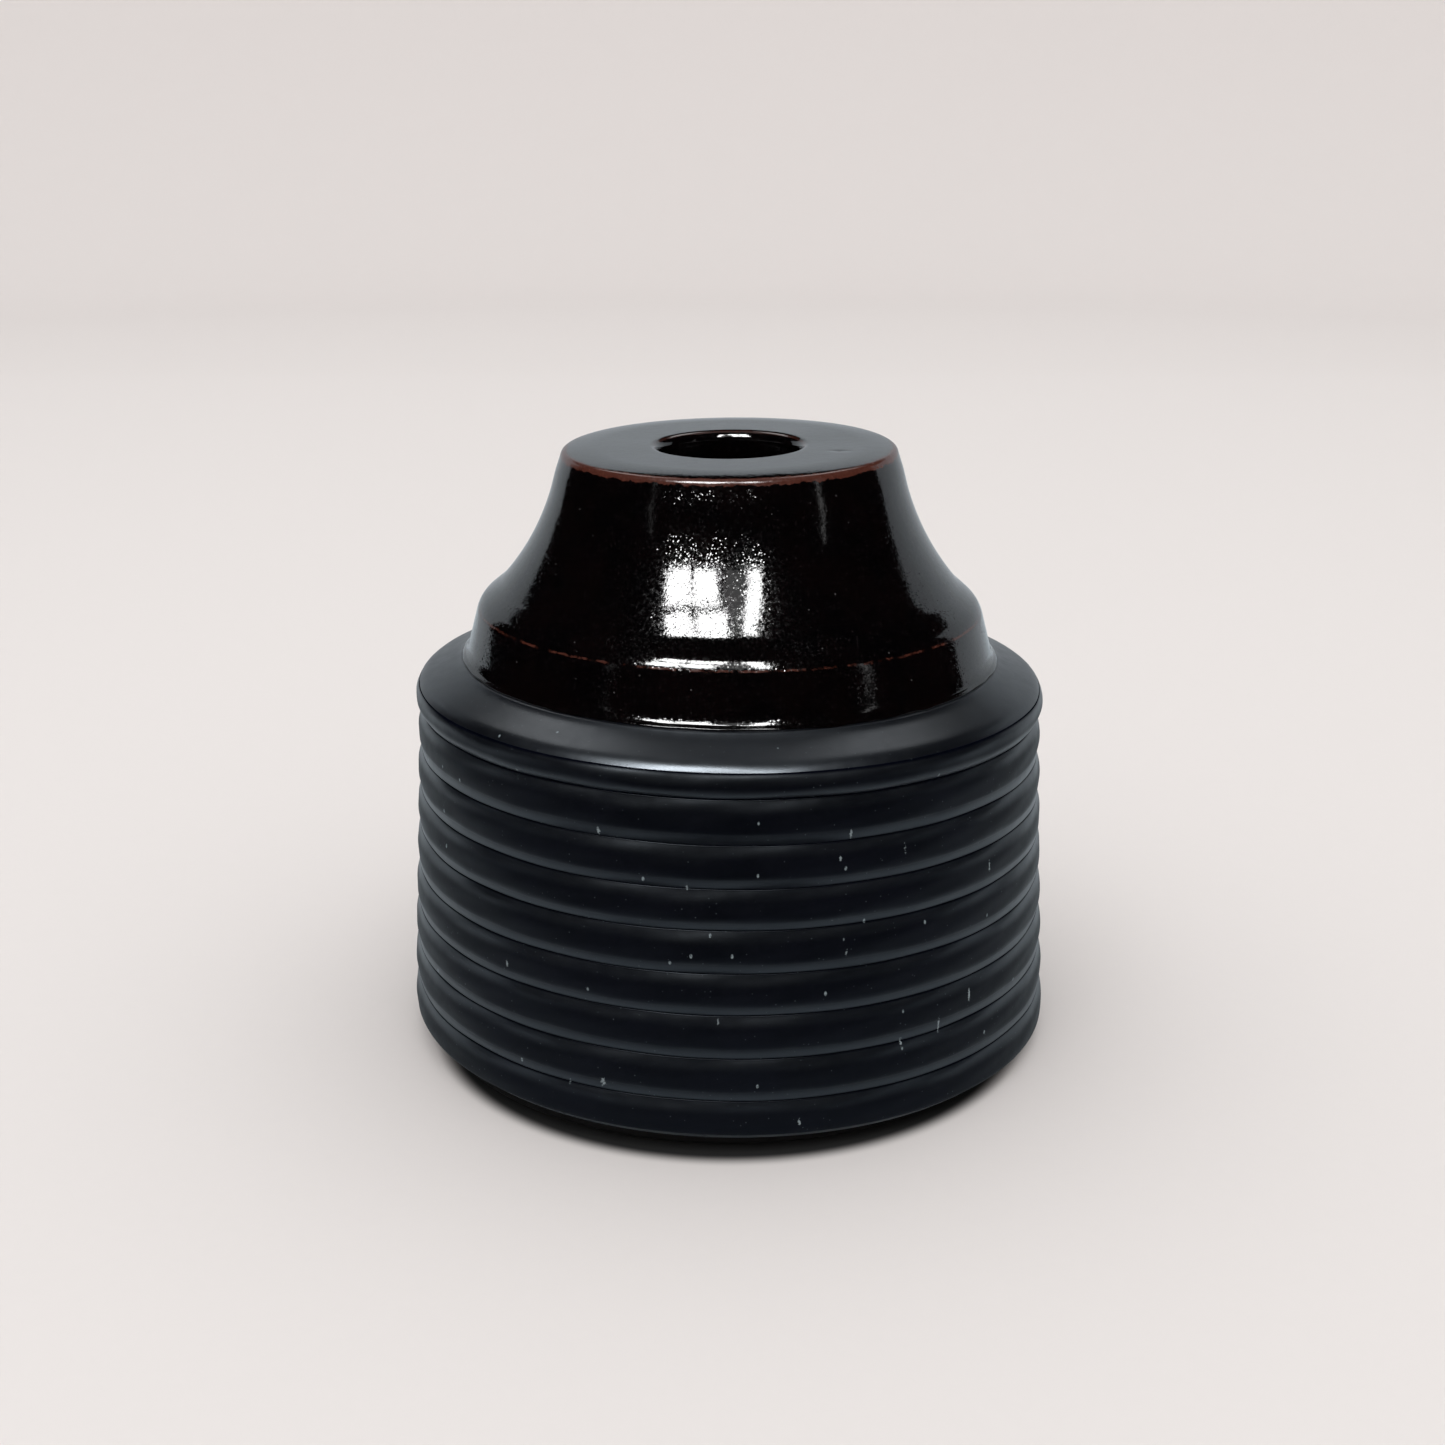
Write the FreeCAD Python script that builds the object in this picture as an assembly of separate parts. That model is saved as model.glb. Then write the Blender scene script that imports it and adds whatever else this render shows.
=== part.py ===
"""Stoneware vase: a ribbed matt body, a glossy flared bell on it, and a flat disc top with a small mouth.

All sizes are in millimetres. +Z is up, the vase is round about Z, and it stands on z = 0.
Every piece is drawn as a half section in the XZ plane, with x as the radius, and turned about Z.
"""

import math
import os

import FreeCAD
import Part

# Finished, glazed outside: the matt body
FOOT_HEIGHT = 2.6
FOOT_EDGE_R = 64.6
RIB_COUNT = 8
RIB_PITCH = 8.3
RIB_DEPTH = 1.35
RIB_FACE_R = 13.2
RIB_FACE_TOP = 18.0
RIB_FACE_FOOT = -7.0
RIB_NOSE_R = 2.0
RIB_NOSE_FOOT = -35.0
RIB_TOP_R = 0.6
RIB_TOP_END = 80.0
LOWEST_CREST_Z = 6.65
LOWEST_CREST_R = 67.0
CREST_TO_CREASE = 4.5
BODY_TAPER = 0.052
SHOULDER_CREST_R = 64.2
SHOULDER_CREST_Z = 73.0
SHOULDER_ROLL_R = 3.0
SHOULDER_SLOPE = 60.0

# The hollow curve between shoulder and bell, and the seam of the two glazes in it
HOLLOW_CENTRE = (58.08, 84.04)
HOLLOW_R = 5.0
SEAM_ANGLE = 232.0
BAND_LEAN = 14.8

# The glossy bell, its flat top and its mouth
TOP_Z = 122.0
ARRIS_CENTRE = (47.76, 87.88)
ARRIS_R = 4.0
ARRIS_END = 50.0
RIM_CENTRE = (32.2, 120.4)
RIM_R = 1.2
RIM_START = 15.0
RIM_END = 78.0
TOP_FLAT_R = 26.7
MOUTH_R = 14.0
MOUTH_LIP_R = 2.0
MOUTH_DEPTH = 6.5

# The inside, the foot ring and the coats of glaze
GLAZE = 0.5
FOOT_OUTER_R = 64.1
FOOT_CHAMFER = 0.3
FOOT_INNER_R = 49.0
FOOT_RECESS = 1.2
FLOOR_Z = 10.0
FLOOR_CORNER_R = 9.0
INSIDE_R_LOW = 58.0
INSIDE_R_HIGH = 56.6
CEILING_R = 27.0

# Where the leather-hard clay sections meet: stepped joints, so that each section sits in the next
BASE_LEDGE_Z = 8.2
BASE_LEDGE_INNER_R = 55.5
BASE_LEDGE_OUTER_R = 61.5
BELL_JOINT_Z = 80.4
BELL_JOINT_R = 52.2
BELL_JOINT_STEP = 3.0
DISC_LEDGE_Z = 118.6
DISC_LEDGE_R = 30.4

# Beyond every part of the pot, for cutting
FAR = 150.0


def point(r, z):
    """A point of the half section: radius r, height z."""
    return FreeCAD.Vector(r, 0, z)


def line(start, end):
    return Part.LineSegment(point(*start), point(*end)).toShape()


def arc(start, middle, end):
    return Part.Arc(point(*start), point(*middle), point(*end)).toShape()


def around(centre, radius, degrees):
    """The point of a circle at an angle, counted from outward to upward."""
    angle = math.radians(degrees)
    return centre[0] + radius * math.cos(angle), centre[1] + radius * math.sin(angle)


def arc_about(centre, radius, first, last):
    """Part of a circle between two angles."""
    middle = (first + last) / 2
    return arc(*(around(centre, radius, degrees) for degrees in (first, middle, last)))


def polygon(*corners):
    """A flat face with straight sides."""
    closed = [point(*corner) for corner in corners + corners[:1]]
    return Part.Face(Part.makePolygon(closed))


def crest_radius(z):
    """The body narrows a little towards the shoulder."""
    return LOWEST_CREST_R - BODY_TAPER * (z - LOWEST_CREST_Z)


def inner_centre(centre, radius, smaller, degrees):
    """Centre of a smaller circle that touches a larger one from inside at an angle."""
    return around(centre, radius - smaller, degrees)


def rib(start, index):
    """One rib, counted from the bottom: flat face, round nose under it, tight round over to the crease."""
    crest_z = LOWEST_CREST_Z + RIB_PITCH * index
    crease_z = crest_z + CREST_TO_CREASE
    end = (crest_radius(crease_z) - RIB_DEPTH, crease_z)
    face_centre = (crest_radius(crest_z) - RIB_FACE_R, crest_z)
    nose_centre = inner_centre(face_centre, RIB_FACE_R, RIB_NOSE_R, RIB_FACE_FOOT)
    top_centre = inner_centre(face_centre, RIB_FACE_R, RIB_TOP_R, RIB_FACE_TOP)
    edges = [
        line(start, around(nose_centre, RIB_NOSE_R, RIB_NOSE_FOOT)),
        arc_about(nose_centre, RIB_NOSE_R, RIB_NOSE_FOOT, RIB_FACE_FOOT),
        arc_about(face_centre, RIB_FACE_R, RIB_FACE_FOOT, RIB_FACE_TOP),
        arc_about(top_centre, RIB_TOP_R, RIB_FACE_TOP, RIB_TOP_END),
        line(around(top_centre, RIB_TOP_R, RIB_TOP_END), end),
    ]
    return edges, end


def body_outline():
    """The matt surface, from the bottom edge over the ribs and the shoulder roll to the seam."""
    edges = []
    start = (FOOT_EDGE_R, FOOT_HEIGHT)
    for index in range(RIB_COUNT):
        rib_edges, start = rib(start, index)
        edges += rib_edges
    inset = SHOULDER_CREST_R - start[0]
    rise = SHOULDER_CREST_Z - start[1]
    under_r = (inset**2 + rise**2) / (2 * inset)
    under_centre = (SHOULDER_CREST_R - under_r, SHOULDER_CREST_Z)
    under_angle = -math.degrees(math.asin(rise / under_r))
    roll_centre = (SHOULDER_CREST_R - SHOULDER_ROLL_R, SHOULDER_CREST_Z)
    hollow_foot = 180.0 + SHOULDER_SLOPE
    edges.append(arc_about(under_centre, under_r, under_angle, 0.0))
    edges.append(arc_about(roll_centre, SHOULDER_ROLL_R, 0.0, SHOULDER_SLOPE))
    edges.append(
        line(
            around(roll_centre, SHOULDER_ROLL_R, SHOULDER_SLOPE),
            around(HOLLOW_CENTRE, HOLLOW_R, hollow_foot),
        )
    )
    edges.append(arc_about(HOLLOW_CENTRE, HOLLOW_R, hollow_foot, SEAM_ANGLE))
    return edges


def bell_outline():
    """The glossy surface, from the seam over the bell and the disc top to the foot of the mouth."""
    hollow_head = 180.0 + BAND_LEAN
    flare_foot = (46.4, 94.1)
    flare_top = (35.5, 113.6)
    disc_foot = (34.8, 117.3)
    lip_centre = (MOUTH_R + MOUTH_LIP_R, TOP_Z - MOUTH_LIP_R)
    return [
        arc_about(HOLLOW_CENTRE, HOLLOW_R, SEAM_ANGLE, hollow_head),
        line(around(HOLLOW_CENTRE, HOLLOW_R, hollow_head), around(ARRIS_CENTRE, ARRIS_R, BAND_LEAN)),
        arc_about(ARRIS_CENTRE, ARRIS_R, BAND_LEAN, ARRIS_END),
        line(around(ARRIS_CENTRE, ARRIS_R, ARRIS_END), flare_foot),
        arc(flare_foot, (39.8, 103.4), flare_top),
        line(flare_top, disc_foot),
        line(disc_foot, around(RIM_CENTRE, RIM_R, RIM_START)),
        arc_about(RIM_CENTRE, RIM_R, RIM_START, RIM_END),
        arc(around(RIM_CENTRE, RIM_R, RIM_END), (29.6, TOP_Z - 0.12), (TOP_FLAT_R, TOP_Z)),
        line((TOP_FLAT_R, TOP_Z), (lip_centre[0], TOP_Z)),
        arc_about(lip_centre, MOUTH_LIP_R, 90.0, 180.0),
        line((MOUTH_R, lip_centre[1]), (MOUTH_R, TOP_Z - MOUTH_DEPTH + GLAZE)),
    ]


def inside_outline():
    """The inside surface, from the foot of the mouth along ceiling and wall to the floor's middle."""
    ceiling = TOP_Z - MOUTH_DEPTH
    neck = (30.3, 111.0)
    throat = (46.6, 86.0)
    shoulder = (47.4, 79.0)
    wall_top = (INSIDE_R_HIGH, 66.0)
    wall_foot = (INSIDE_R_LOW, FLOOR_Z + FLOOR_CORNER_R)
    corner_centre = (INSIDE_R_LOW - FLOOR_CORNER_R, FLOOR_Z + FLOOR_CORNER_R)
    return [
        line((MOUTH_R, ceiling), (CEILING_R, ceiling)),
        arc((CEILING_R, ceiling), (29.3, 114.0), neck),
        arc(neck, (36.8, 98.3), throat),
        line(throat, shoulder),
        arc(shoulder, (53.6, 73.2), wall_top),
        line(wall_top, wall_foot),
        arc_about(corner_centre, FLOOR_CORNER_R, 0.0, -90.0),
        line((corner_centre[0], FLOOR_Z), (0, FLOOR_Z)),
    ]


def pot_section():
    """The whole pot, clay and glaze together."""
    foot = [
        (0, FLOOR_Z),
        (0, FOOT_RECESS),
        (FOOT_INNER_R - FOOT_RECESS, FOOT_RECESS),
        (FOOT_INNER_R, 0),
        (FOOT_OUTER_R - FOOT_CHAMFER, 0),
        (FOOT_OUTER_R, FOOT_CHAMFER),
        (FOOT_OUTER_R, FOOT_HEIGHT),
        (FOOT_EDGE_R, FOOT_HEIGHT),
    ]
    edges = [line(start, end) for start, end in zip(foot, foot[1:])]
    edges += body_outline() + bell_outline()
    edges.append(line((MOUTH_R, TOP_Z - MOUTH_DEPTH + GLAZE), (MOUTH_R, TOP_Z - MOUTH_DEPTH)))
    edges += inside_outline()
    return Part.Face(Part.Wire(edges))


def coat(edges):
    """The section of a coat of glaze, which lies under the finished surface and is as thick all along."""
    return Part.Wire(edges).makeOffset2D(GLAZE, 0, True, True)


def base_zone():
    """Floor and foot ring, with a ledge for the wall to stand on."""
    return polygon(
        (0, 0),
        (FOOT_EDGE_R, 0),
        (FOOT_EDGE_R, FOOT_HEIGHT),
        (BASE_LEDGE_OUTER_R, FOOT_HEIGHT),
        (BASE_LEDGE_OUTER_R, BASE_LEDGE_Z),
        (BASE_LEDGE_INNER_R, BASE_LEDGE_Z),
        (BASE_LEDGE_INNER_R, FLOOR_Z + FLOOR_CORNER_R),
        (0, FLOOR_Z + FLOOR_CORNER_R),
    )


def disc_zone():
    """The disc, with a flange that lies in the bell's top."""
    return polygon(
        (0, TOP_Z - MOUTH_DEPTH),
        (CEILING_R, TOP_Z - MOUTH_DEPTH),
        (CEILING_R, DISC_LEDGE_Z),
        (DISC_LEDGE_R, DISC_LEDGE_Z),
        (DISC_LEDGE_R, TOP_Z),
        (0, TOP_Z),
    )


def upper_zone():
    """All that stands above the ribbed wall: the bell's foot sits in the shoulder's rebate."""
    return polygon(
        (0, BELL_JOINT_Z - BELL_JOINT_STEP),
        (BELL_JOINT_R, BELL_JOINT_Z - BELL_JOINT_STEP),
        (BELL_JOINT_R, BELL_JOINT_Z),
        (FAR, BELL_JOINT_Z),
        (FAR, FAR),
        (0, FAR),
    )


def sections():
    """The half section of every piece, by name."""
    coats = {
        "matt_glaze": coat(body_outline()),
        "gloss_glaze": coat(bell_outline()),
        "liner_glaze": coat(inside_outline()),
    }
    clay = pot_section().cut(list(coats.values()))
    return {
        "foot_base": clay.common(base_zone()),
        "ribbed_wall": clay.cut([base_zone(), upper_zone()]),
        "bell_section": clay.common(upper_zone()).cut(disc_zone()),
        "top_disc": clay.common(disc_zone()),
        **coats,
    }


def turn(section):
    """The solid that a half section makes when it turns about Z."""
    return section.revolve(FreeCAD.Vector(0, 0, 0), FreeCAD.Vector(0, 0, 1), 360)


os.makedirs("parts", exist_ok=True)
for name, section in sections().items():
    turn(section.Faces[0]).exportStep("parts/" + name + ".step")
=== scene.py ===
"""Looks of the stoneware vase: the hand-thrown shape, the two glazes, and a pale studio around it.

The shape is drawn in millimetres as half sections, radius and height, like the CAD model's.
One gentle warp then gives all pieces the tilts and waves of a pot that was turned by hand.
"""

import math
import random

import bpy
import numpy as np
from mathutils import Matrix, Vector


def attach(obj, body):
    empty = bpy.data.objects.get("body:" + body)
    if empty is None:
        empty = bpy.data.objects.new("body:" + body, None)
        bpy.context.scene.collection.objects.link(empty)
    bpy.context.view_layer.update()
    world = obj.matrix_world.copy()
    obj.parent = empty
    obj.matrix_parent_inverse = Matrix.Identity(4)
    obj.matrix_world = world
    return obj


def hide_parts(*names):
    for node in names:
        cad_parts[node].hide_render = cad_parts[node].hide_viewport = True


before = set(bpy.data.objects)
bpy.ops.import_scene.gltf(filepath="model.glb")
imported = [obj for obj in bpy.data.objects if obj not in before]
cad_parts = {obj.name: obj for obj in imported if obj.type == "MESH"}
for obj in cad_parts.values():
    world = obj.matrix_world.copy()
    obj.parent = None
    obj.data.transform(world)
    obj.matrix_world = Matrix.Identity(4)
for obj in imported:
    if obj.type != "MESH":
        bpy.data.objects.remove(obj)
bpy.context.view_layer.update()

MM = 0.001
COLUMNS = 340
GLAZE = 0.5

# Outside of the ribbed body
BOTTOM_Z = 2.6
BOTTOM_R = 64.6
CREST_R = 67.0
LOWEST_CREST_Z = 7.0
CREASE_Z = [11.0, 19.4, 27.9, 36.0, 44.4, 52.4, 60.7, 69.3]
TAPER = 0.052
CREST_BELOW_CREASE = 4.5
FACE_R = 12.2
FACE_TOP = 21.6
FACE_FOOT = -7.0
NOSE_R = 2.0
NOSE_FOOT = -27.0
GROOVE = 0.22
GROOVE_RISE = 0.08
GROOVE_TOP = (0.02, 0.2)
SHOULDER = (64.2, 72.1)
SHOULDER_ROLL = 4.4
SLOPE = 66.5
HOLLOW_R = 5.2
SEAM_ANGLE = 225.0
BAND_FOOT = (51.4, 88.9)
BAND_LEAN = 14.8

# Outside of the bell
TOP_Z = 122.0
ARRIS_R = 6.0
ARRIS_END = 50.0
FLARE_FOOT = (46.7, 94.1)
FLARE_MIDDLE = (40.1, 103.4)
FLARE_TOP = (35.75, 113.6)
DISC_FOOT = (34.75, 117.3)
RIM_CENTRE = (32.45, 120.4)
RIM_R = 1.2
RIM_START = 15.0
RIM_END = 78.0
DOME_MIDDLE = (29.6, 121.88)
FLAT_R = 26.7
MOUTH_R = 14.0
LIP_R = 2.0
MOUTH_DEPTH = 6.5

# Inside, from the mouth down: ends and middles of its arcs and lines
CEILING_Z = TOP_Z - MOUTH_DEPTH
CEILING_R = 27.0
CEILING_BEND = (29.3, 114.0)
THROAT_TOP = (30.3, 111.0)
THROAT_MIDDLE = (36.8, 98.3)
THROAT_FOOT = (46.6, 86.0)
NECK_FOOT = (47.4, 79.0)
VAULT_MIDDLE = (53.6, 73.2)
WALL_TOP = (56.6, 66.0)
WALL_FOOT = (58.0, 19.0)
FLOOR_BEND = 9.0
FLOOR_Z = 10.0

# Clay joints and the foot
DISC_LEDGE = (30.4, 118.6)
DISC_TOP_Z = 121.3
BELL_JOINT = (52.2, 80.4)
BELL_JOINT_STEP = 3.0
BASE_LEDGE_Z = 8.2
BASE_LEDGE_R = (55.5, 61.5)
BASE_TOP_Z = 12.3
FOOT_R = 62.3
FOOT_CHAMFER = 0.3
RECESS_R = (47.8, 49.0)
RECESS_Z = 1.2


# ---------------------------------------------------------------- half sections

SAME_POINT = 1e-4
SHARP_TURN = 25.0


def through(start, middle, end, count):
    """Points of the arc through three points."""
    (x1, y1), (x2, y2), (x3, y3) = start, middle, end
    d = 2 * (x1 * (y2 - y3) + x2 * (y3 - y1) + x3 * (y1 - y2))
    q1, q2, q3 = x1 * x1 + y1 * y1, x2 * x2 + y2 * y2, x3 * x3 + y3 * y3
    cx = (q1 * (y2 - y3) + q2 * (y3 - y1) + q3 * (y1 - y2)) / d
    cy = (q1 * (x3 - x2) + q2 * (x1 - x3) + q3 * (x2 - x1)) / d
    radius = math.hypot(x1 - cx, y1 - cy)
    angles = np.unwrap([math.atan2(y - cy, x - cx) for x, y in (start, middle, end)])
    a = angles[0] + (angles[2] - angles[0]) * np.linspace(0, 1, count)
    return np.stack([cx + radius * np.cos(a), cy + radius * np.sin(a)], 1)


def about(centre, radius, first, last, count):
    """Points of a circle between two angles in degrees."""
    a = np.radians(np.linspace(first, last, count))
    return np.stack([centre[0] + radius * np.cos(a), centre[1] + radius * np.sin(a)], 1)


def straight(start, end, count):
    """Points of the line between two points."""
    t = np.linspace(0, 1, count)[:, None]
    return np.array(start) * (1 - t) + np.array(end) * t


def chain(*runs):
    """Joins runs of points end to end, without the doubled points."""
    out = [runs[0][0]]
    for run in runs:
        for point in run:
            if np.hypot(*(point - out[-1])) > SAME_POINT:
                out.append(point)
    return np.array(out)


def crisp(points, reach):
    """Adds points close to sharp corners, so that smooth shading stays near them."""
    out = [points[0]]
    for before, corner, after in zip(points, points[1:], points[2:]):
        a, b = before - corner, after - corner
        la, lb = np.hypot(*a), np.hypot(*b)
        turn = math.degrees(math.acos(np.clip(-(a @ b) / (la * lb), -1, 1)))
        if turn > SHARP_TURN:
            near = min(reach, 0.4 * la, 0.4 * lb)
            out += [corner + a / la * near, corner, corner + b / lb * near]
        else:
            out.append(corner)
    out.append(points[-1])
    return np.array(out)


def offset(points, distance):
    """The same line, moved to its left (positive) by a distance."""
    step = np.gradient(points, axis=0)
    step /= np.hypot(step[:, 0], step[:, 1])[:, None]
    return points + distance * np.stack([-step[:, 1], step[:, 0]], 1)


def along(points):
    """How far each point is along the line."""
    steps = np.hypot(*np.diff(points, axis=0).T)
    return np.concatenate([[0], np.cumsum(steps)])


def rib(crease_z, fine):
    """Nose and face of one rib, and the fine groove above it."""
    crest_z = crease_z - CREST_BELOW_CREASE
    crest_r = CREST_R - TAPER * (crest_z - LOWEST_CREST_Z)
    face = about((crest_r - FACE_R, crest_z), FACE_R, FACE_FOOT, FACE_TOP, fine)
    nose = np.radians(FACE_FOOT)
    nose_centre = face[0] - NOSE_R * np.array([math.cos(nose), math.sin(nose)])
    top_r = face[-1][0]
    groove = [
        (top_r - GROOVE, crease_z + GROOVE_RISE),
        (top_r + GROOVE_TOP[0], crease_z + GROOVE_TOP[1]),
    ]
    return [about(nose_centre, NOSE_R, NOSE_FOOT, FACE_FOOT, fine // 2), face, np.array(groove)]


def touching(point_a, angle_a, point_b, angle_b, distance):
    """Centre of a circle beside two lines, each given by a point and the direction it faces."""
    angles = np.radians([angle_a, angle_b])
    facing = np.stack([np.cos(angles), np.sin(angles)], 1)
    reach = [distance + facing[0] @ point_a, distance + facing[1] @ point_b]
    return np.linalg.solve(facing, reach)


def hollow_centre():
    """Centre of the hollow between the shoulder's slope and the band."""
    slope = math.radians(SLOPE)
    on_slope = (
        SHOULDER[0] - SHOULDER_ROLL + SHOULDER_ROLL * math.cos(slope),
        SHOULDER[1] + SHOULDER_ROLL * math.sin(slope),
    )
    return touching(BAND_FOOT, BAND_LEAN, on_slope, SLOPE, HOLLOW_R)


def matt_outline(per_rib, fine):
    """From the bottom edge over the ribs and the shoulder to the seam."""
    runs = [np.array([(BOTTOM_R, BOTTOM_Z)])]
    for crease_z in CREASE_Z:
        runs += rib(crease_z, per_rib)
    start = runs[-1][-1]
    r, z = SHOULDER
    inset, rise = r - start[0], z - start[1]
    under = (inset**2 + rise**2) / (2 * inset)
    down = -math.degrees(math.asin(rise / under))
    roll = (r - SHOULDER_ROLL, z)
    runs.append(about((r - under, z), under, down, 0, fine))
    runs.append(about(roll, SHOULDER_ROLL, 0, SLOPE, fine))
    foot = about(hollow_centre(), HOLLOW_R, 180 + SLOPE, SEAM_ANGLE, fine // 2)
    runs.append(straight(runs[-1][-1], foot[0], fine))
    runs.append(foot)
    return chain(*runs)


def bell_outline(fine):
    """From the seam over band, bell, rim and disc top to the foot of the mouth."""
    band = about(hollow_centre(), HOLLOW_R, SEAM_ANGLE, 180 + BAND_LEAN, fine)
    flare = through(FLARE_FOOT, FLARE_MIDDLE, FLARE_TOP, 2 * fine)
    arris_centre = touching(BAND_FOOT, BAND_LEAN, FLARE_FOOT, ARRIS_END, -ARRIS_R)
    arris = about(arris_centre, ARRIS_R, BAND_LEAN, ARRIS_END, fine)
    rim = about(RIM_CENTRE, RIM_R, RIM_START, RIM_END, fine)
    lip_r, lip_z = MOUTH_R + LIP_R, TOP_Z - LIP_R
    return chain(
        band,
        straight(band[-1], arris[0], fine // 2),
        arris,
        straight(arris[-1], flare[0], fine // 2),
        flare,
        straight(flare[-1], DISC_FOOT, fine // 3),
        straight(DISC_FOOT, rim[0], fine // 2),
        rim,
        through(rim[-1], DOME_MIDDLE, (FLAT_R, TOP_Z), fine // 2),
        straight((FLAT_R, TOP_Z), (lip_r, TOP_Z), fine),
        about((lip_r, lip_z), LIP_R, 90, 180, fine),
        straight((MOUTH_R, lip_z), (MOUTH_R, CEILING_Z + GLAZE), fine // 3),
    )


def inside_outline(fine):
    """From the foot of the mouth along ceiling and wall to the floor's middle."""
    bend_r = WALL_FOOT[0] - FLOOR_BEND
    return chain(
        straight((MOUTH_R, CEILING_Z), (CEILING_R, CEILING_Z), fine // 2),
        through((CEILING_R, CEILING_Z), CEILING_BEND, THROAT_TOP, fine // 2),
        through(THROAT_TOP, THROAT_MIDDLE, THROAT_FOOT, fine),
        straight(THROAT_FOOT, NECK_FOOT, fine // 2),
        through(NECK_FOOT, VAULT_MIDDLE, WALL_TOP, fine // 2),
        straight(WALL_TOP, WALL_FOOT, fine),
        about((bend_r, WALL_FOOT[1]), FLOOR_BEND, 0, -90, fine // 2),
        straight((bend_r, FLOOR_Z), (0, FLOOR_Z), fine),
    )


# ---------------------------------------------------------------- the hand-thrown warp

# How each height is tilted, as height in mm and degrees: sideways, then from front to back
TILT = [
    (0.0, 0.0),
    (2.6, -0.95),
    (8.0, -0.8),
    (70.0, -0.75),
    (90.0, -0.65),
    (112.0, 0.1),
    (122.0, 0.4),
]
TOP_TILT = [(0.0, 0.0), (92.0, 0.0), (112.0, 0.5), (122.0, 1.0)]

# Slow waves: their number round the pot, size outwards and upwards, two starts, and twist per mm
SWAY_OUT = 0.10
SWAY_UP = 0.07
SWAY_TWIST = 0.16
TURN = 6.28
CALM_R = 30.0
dice = random.Random(7)
SWAY = [
    (
        k,
        SWAY_OUT / k,
        SWAY_UP / k,
        dice.uniform(0, TURN),
        dice.uniform(0, TURN),
        dice.uniform(-SWAY_TWIST, SWAY_TWIST),
    )
    for k in (1, 2, 3, 4, 5, 7)
]


def warp(r, z, angle):
    """Where a point of the ideal pot lies in the real one; all three are arrays of one shape."""
    lean = np.tan(np.radians(np.interp(z, *zip(*TILT))))
    top_lean = np.tan(np.radians(np.interp(z, *zip(*TOP_TILT))))
    grounded = np.clip(z / BOTTOM_Z, 0, 1)
    dr = np.zeros_like(angle)
    dz = np.zeros_like(angle)
    for k, radial, upright, p, q, twist in SWAY:
        dr = dr + radial * np.cos(k * angle + p + twist * z)
        dz = dz + upright * np.cos(k * angle + q + twist * z)
    far = np.clip(r / CALM_R, 0, 1)
    rr = r + dr * far * grounded
    x, y = rr * np.cos(angle), rr * np.sin(angle)
    return x, y, z + x * lean + y * top_lean + dz * far * grounded


def rough_line(angle, first, last, seed, size):
    """A ragged line round the pot: waves from first to last per turn."""
    rolls = random.Random(seed)
    out = np.zeros_like(angle)
    for k in range(first, last):
        out = out + rolls.gauss(0, 1) / k**0.7 * np.cos(k * angle + rolls.uniform(0, TURN))
    return size * out / np.abs(out).max()


# ---------------------------------------------------------------- meshes

ON_AXIS = 1e-6
INNER_PATH = -50.0


def turned(name, section, columns=COLUMNS, detail=None, path=None, smooth=True):
    """A closed solid turned from a closed half section, through the warp.

    detail(r, z, angle) returns changed r and z before the warp. path is one number per
    section point, kept on the vertices as path_mm for the materials.
    """
    rows, r = len(section), section[:, 0]
    angle = np.linspace(0, 2 * math.pi, columns, endpoint=False)[None, :].repeat(rows, 0)
    rr = r[:, None].repeat(columns, 1)
    zz = section[:, 1][:, None].repeat(columns, 1)
    if detail:
        rr, zz = detail(rr, zz, angle)
    x, y, z = warp(rr, zz, angle)
    verts, index = [], np.zeros((rows, columns), int)
    for i in range(rows):
        if r[i] < ON_AXIS:
            index[i, :] = len(verts)
            verts.append((0.0, 0.0, float(z[i].mean())))
        else:
            index[i] = np.arange(len(verts), len(verts) + columns)
            verts.extend(zip(x[i].tolist(), y[i].tolist(), z[i].tolist()))
    faces = []
    for i in range(rows):
        j = (i + 1) % rows
        if r[i] < ON_AXIS and r[j] < ON_AXIS:
            continue
        for k in range(columns):
            n = (k + 1) % columns
            corners = [index[i, k], index[i, n], index[j, n], index[j, k]]
            faces.append(tuple(dict.fromkeys(int(c) for c in corners)))
    mesh = bpy.data.meshes.new(name)
    mesh.from_pydata([(a * MM, b * MM, c * MM) for a, b, c in verts], [], faces)
    mesh.update()
    if path is not None:
        values = np.zeros(len(verts), np.float32)
        for i in range(rows):
            values[index[i]] = path[i]
        layer = mesh.attributes.new("path_mm", "FLOAT", "POINT")
        layer.data.foreach_set("value", values)
    mesh.polygons.foreach_set("use_smooth", [smooth] * len(mesh.polygons))
    piece = bpy.data.objects.new(name, mesh)
    bpy.context.scene.collection.objects.link(piece)
    return piece


def area_sign(section):
    """Positive for a section that runs anticlockwise."""
    x, y = section[:, 0], section[:, 1]
    return np.sum(x * np.roll(y, -1) - np.roll(x, -1) * y)


def closed(outer, inner, numbers=None):
    """A closed section between two lines that run the same way, with its path numbers.

    The numbers belong to the outer line, and are the way along it unless others are given.
    """
    section = np.concatenate([outer, inner[::-1]])
    numbers = along(outer) if numbers is None else numbers
    path = np.concatenate([numbers, np.full(len(inner), INNER_PATH)])
    if area_sign(section) < 0:
        section, path = section[::-1], path[::-1]
    return section, path


def clip_z(points, low, high):
    """The points between two heights."""
    return points[(points[:, 1] > low) & (points[:, 1] < high)]


# ---------------------------------------------------------------- materials


def rgb(r, g, b):
    return (r, g, b, 1.0)


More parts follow.
